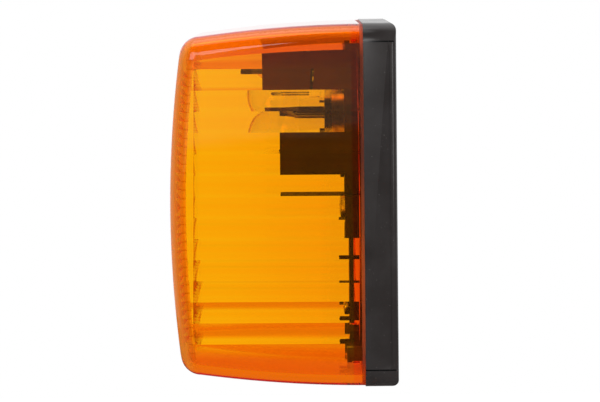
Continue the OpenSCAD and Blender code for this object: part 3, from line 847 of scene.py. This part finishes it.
def makeFilament():
    path = []
    steps = bulb["coilTurns"] * bulb["coilSteps"]
    middle = Vector((0, -bulb["filamentDepth"], bulb["z"]))
    for k in range(steps + 1):
        arch = math.pi * k / steps
        spin = 2 * math.pi * k / bulb["coilSteps"]
        away = Vector((-math.cos(arch), -math.sin(arch), 0))
        offset = away * math.cos(spin) + Vector((0, 0, 1)) * math.sin(spin)
        path.append(middle + away * bulb["leadX"] + offset * bulb["coilRadius"])
    piece = tube("filament_coil", path, bulb["wire"], sides=6)
    smooth(piece, angle=60)
    finishPiece(piece, "tungsten", "bulb_filament")
    leads = []
    for x in (-bulb["leadX"], bulb["leadX"]):
        line = [(x, -depth, bulb["z"]) for depth in bulb["leadDepths"]]
        leads.append(tube("lead", line, bulb["leadRadius"], sides=12))
    piece = joined("lead_pair", leads)
    smooth(piece, angle=50)
    finishPiece(piece, "nickel", "bulb_leads")


contact = {
    "dome": ((0.55, 0.12), (0.9, 0.5), (1, 0.9)),  # share of the radius, and how far below the top
    "rounding": 0.4,
}


def makeContact():
    low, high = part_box("bulb_contact")
    radius = high.x / mm
    first, last = -high.y / mm, -low.y / mm
    dome = [(radius * share, first + drop) for share, drop in contact["dome"]]
    line = filleted([(0, first)] + dome + [(radius, last), (0, last)], contact["rounding"])
    piece = turned("solder_dome", line, z=bulb["z"], segments=48)
    smooth(piece)
    finishPiece(piece, "solder", "bulb_contact")


spring = {"wire": 0.2, "turns": 3, "steps": 90}


def makeSpring():
    low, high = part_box("contact_spring")
    radius = high.x / mm - spring["wire"]
    first, last = -high.y / mm + spring["wire"], -low.y / mm - spring["wire"]
    path = []
    for k in range(spring["steps"] + 1):
        share = k / spring["steps"]
        a = 2 * math.pi * spring["turns"] * share
        y = -first - (last - first) * share
        path.append((radius * math.cos(a), y, bulb["z"] + radius * math.sin(a)))
    piece = tube("spring_coil", path, spring["wire"], sides=12)
    smooth(piece, angle=50)
    finishPiece(piece, "plated_steel", "contact_spring")


makeGlass()
makeFilament()
makeContact()
makeSpring()
print("bulb made")


# Screws, inserts, grommet and breather

screwLook = {
    "shank": 1.45, "point": 0.35, "plainEnd": 1.2, "neck": 0.6, "threadPitch": 0.9, "threadDepth": 0.22,
    "crown": 0.45, "rounding": 0.5, "edge": 0.08, "slotWidth": 0.8, "slotDepth": 1,
}
screwKinds = {  # node: name, tip, head, top, head radius
    "carrier_screws": ("fixing_screws", 1.5, 8.5, 10.5, 2.8),
    "terminal_screws": ("clamp_screws", 6, 13.5, 16.4, 3.2),
    "retainer_screw": ("strap_screw", 1.5, 13.5, 15.5, 2.8),
}


def screw(tip, head, top, headRadius, x, z):
    shank = screwLook["shank"]
    line = [(0, tip), (shank * screwLook["point"], tip)]
    depth = tip + screwLook["plainEnd"]
    while depth < head - screwLook["plainEnd"]:
        line += [(shank, depth), (shank - screwLook["threadDepth"], depth + screwLook["threadPitch"] / 2)]
        depth += screwLook["threadPitch"]
    line += [(shank, head - screwLook["neck"]), (shank, head)]
    crown = [(shank, head), (headRadius, head), (headRadius, top - screwLook["crown"]), (0, top)]
    line += filleted(crown, screwLook["rounding"], steps=5)[1:]
    piece = turned("screw", line, x, z, segments=40)
    halfL = headRadius + 1
    halfW = screwLook["slotWidth"] / 2
    corners = ((-halfL, -halfW), (halfL, -halfW), (halfL, halfW), (-halfL, halfW))
    depths = (top - screwLook["slotDepth"], top + 1)
    slot = stackedRings("slot", [[(x + across, -d, z + up) for across, up in corners] for d in depths])
    combine(piece, slot, "DIFFERENCE")
    return piece


def makeScrews():
    for node, (name, tip, head, top, radius) in screwKinds.items():
        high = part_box(node)[1]
        x = high.x / mm - radius
        z = high.z / mm - radius
        places = (-x, x) if x > 1 else (0,)  # a pair, or one in the middle
        piece = joined(name, [screw(tip, head, top, radius, place, z) for place in places])
        softEdges(piece, screwLook["edge"], angle=50)
        smooth(piece)
        finishPiece(piece, "plated_steel", node)


insertSize = {
    "radius": 3.45, "edge": 0.25, "endWall": 1, "bore": 2.1, "mouth": 0.6, "mouthWidening": 0.45,
    "threadDepth": 0.28, "threadPitch": 0.7, "plainEnds": (0.9, 1.2),
}


def closeEnd(piece):  # joins the rims of the bore and of the outside
    work = bmesh.new()
    work.from_mesh(piece.data)
    bmesh.ops.bridge_loops(work, edges=[edge for edge in work.edges if edge.is_boundary])
    bmesh.ops.recalc_face_normals(work, faces=work.faces)
    work.to_mesh(piece.data)
    work.free()


def makeInserts():
    low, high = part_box("threaded_inserts")
    length = -low.y / mm
    outer = insertSize["radius"]
    bore = insertSize["bore"]
    x = high.x / mm - outer
    floor = length - insertSize["endWall"]
    line = [(outer - insertSize["edge"], 0), (outer, insertSize["edge"]), (outer, length), (0, length)]
    line += [(0, floor), (bore, floor)]
    nearMouth, nearFloor = insertSize["plainEnds"]
    depth = length - nearFloor
    while depth > nearMouth:
        line += [(bore + insertSize["threadDepth"], depth), (bore, depth - insertSize["threadPitch"] / 2)]
        depth -= insertSize["threadPitch"]
    line += [(bore, insertSize["mouth"]), (bore + insertSize["mouthWidening"], 0)]
    made = [turned("insert", line, side, segments=56) for side in (-x, x)]
    for part in made:
        closeEnd(part)
    piece = joined("insert_pair", made)
    smooth(piece, angle=30)
    finishPiece(piece, "brass", "threaded_inserts")


def plugSize(node):  # x and z of a round plug's middle, its radius, and its depth in front
    low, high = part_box(node)
    return (low.x + high.x) / 2 / mm, (low.z + high.z) / 2 / mm, (high.x - low.x) / 2 / mm, -low.y / mm


grommetSize = {
    "bore": 3.2, "mouth": 0.5, "rearMouth": 0.4, "waist": 5.2, "waistDepth": (1.2, 3), "rounding": 0.25,
    "grooves": (3.1, 1.6), "grooveHalf": 0.3, "grooveDepth": 0.25,
}


def makeGrommet():
    x, z, flange, top = plugSize("cable_grommet")
    bore = grommetSize["bore"]
    mouth = grommetSize["mouth"]
    waist = grommetSize["waist"]
    first, last = grommetSize["waistDepth"]
    line = [(bore, mouth), (bore + grommetSize["rearMouth"], 0), (flange, 0), (flange, first)]
    line += [(waist, first), (waist, last), (flange, last), (flange, top)]
    line += [(bore + mouth, top), (bore, top - mouth)]
    half = grommetSize["grooveHalf"]
    for depth in grommetSize["grooves"]:
        line += [(bore, depth + half), (bore + grommetSize["grooveDepth"], depth), (bore, depth - half)]
    line = filleted(line + line[:1], grommetSize["rounding"], steps=3)[:-1]
    piece = turned("cable_seal", line, x, z, closed=True)
    smooth(piece, angle=50)
    finishPiece(piece, "seal_rubber", "cable_grommet")


breatherSize = {
    "vent": 1.6, "ventDepth": 3.8, "stem": 2.9, "stemDepth": 0.6, "headDepth": 3, "rounding": 0.2,
}


def makeBreather():
    x, z, head, top = plugSize("breather_plug")
    vent, ventDepth = breatherSize["vent"], breatherSize["ventDepth"]
    stem, stemDepth = breatherSize["stem"], breatherSize["stemDepth"]
    under = breatherSize["headDepth"]
    line = [(0, ventDepth), (vent, ventDepth), (vent, stemDepth), (stem, stemDepth)]
    line += [(stem, under), (head, under), (head, top), (0, top)]
    line = filleted(line, breatherSize["rounding"], steps=3)
    piece = turned("vent_plug", line, x, z, segments=48)
    smooth(piece)
    finishPiece(piece, "seal_rubber", "breather_plug")


makeScrews()
makeInserts()
makeGrommet()
makeBreather()
print("screws, inserts and plugs made")


# Studio

studio = {
    "ambient": 0.55,
    "lampPower": 2.4,
    "lampSize": 0.7,  # metres, like the lamps' places
    "lamps": {  # place, share of the power
        "key": ((1, -0.6, 0.8), 1),
        "fill": ((0.8, 0.9, 0.5), 1),
        "top": ((-0.2, -0.3, 1.2), 0.4),
    },
    "room": (0.03, 0.3),  # how bright the room and the wall behind the camera look in a gloss
    "roomX": (-0.4, 0.05),  # directions, where the room takes over from the white behind the lamp
    "wallX": (0.8, 0.9),
    "wallY": (-0.06, -0.03),
    "wallZ": (-0.046, -0.037),
}

floorLook = {
    "height": -113,
    "reach": 450,
    "cloudSize": 300,
    "tones": (0.8, 0.84),
    "inGloss": 0.1,
    "glow": 0.55,  # what makes it white to the camera, and through the lens
    "glowThrough": 0.95,
}


def makeFloor():
    corners = ((-1, -1), (1, -1), (1, 1), (-1, 1))
    points = [(sx * floorLook["reach"], sy * floorLook["reach"], floorLook["height"]) for sx, sy in corners]
    floor = meshPiece("floor", points, [(0, 1, 2, 3)])
    s = newShader("studio floor")
    cloud = s.noise(floorLook["cloudSize"])
    camera, gloss, through = (s.ray(f"Is {kind} Ray") for kind in ("Camera", "Glossy", "Transmission"))
    plain = s.blend(cloud, *(grey(tone) for tone in floorLook["tones"]))
    plain = s.blend(gloss, plain, grey(floorLook["inGloss"]))
    matt = s.node("ShaderNodeBsdfDiffuse", {}, {"Color": s.blend(through, plain, grey(0))})
    strength = camera * floorLook["glow"] + through * floorLook["glowThrough"]
    glow = s.node("ShaderNodeEmission", {}, {"Color": grey(1), "Strength": strength})
    floor.data.materials.append(s.finish(s.node("ShaderNodeAddShader", {}, {0: matt, 1: glow})))


def makeLamps():
    for name, (place, share) in studio["lamps"].items():
        data = bpy.data.lights.new(name, "AREA")
        data.energy = studio["lampPower"] * share * Vector(place).length_squared
        data.size = studio["lampSize"]
        lamp = bpy.data.objects.new(name, data)
        bpy.context.scene.collection.objects.link(lamp)
        lamp.location = place
        lamp.rotation_euler = (-Vector(place)).to_track_quat("-Z", "Y").to_euler()


def makeWorld():  # white to the camera and through the lens, a dim room in a gloss
    world = bpy.data.worlds.new("studio")
    bpy.context.scene.world = world
    s = Shader(world)
    direction = s.node("ShaderNodeTexCoord", output="Generated")
    x, y, z = (s.along(axis, direction) for axis in "XYZ")
    wall = x.over(*studio["wallX"]) * z.over(*studio["wallZ"]) * (1 - y.over(*studio["wallY"]))
    room = s.blend(wall, *(grey(level) for level in studio["room"]))
    gloss, camera, through = (s.ray(f"Is {kind} Ray") for kind in ("Glossy", "Camera", "Transmission"))
    inGloss = s.blend(1 - x.over(*studio["roomX"]), room, grey(1))
    shown = s.blend(gloss, grey(studio["ambient"]), inGloss)
    shown = s.blend(s.maths("MAXIMUM", camera, through), shown, grey(1))
    s.finish(s.node("ShaderNodeBackground", {}, {"Color": shown, "Strength": 1}))


makeFloor()
makeLamps()
makeWorld()
bpy.context.scene.view_settings.view_transform = "Standard"
light = bpy.context.scene.cycles
light.max_bounces = 120  # light runs far inside the walls of the lens
light.glossy_bounces = 120
light.transmission_bounces = 60
light.transparent_max_bounces = 24
print("studio made")
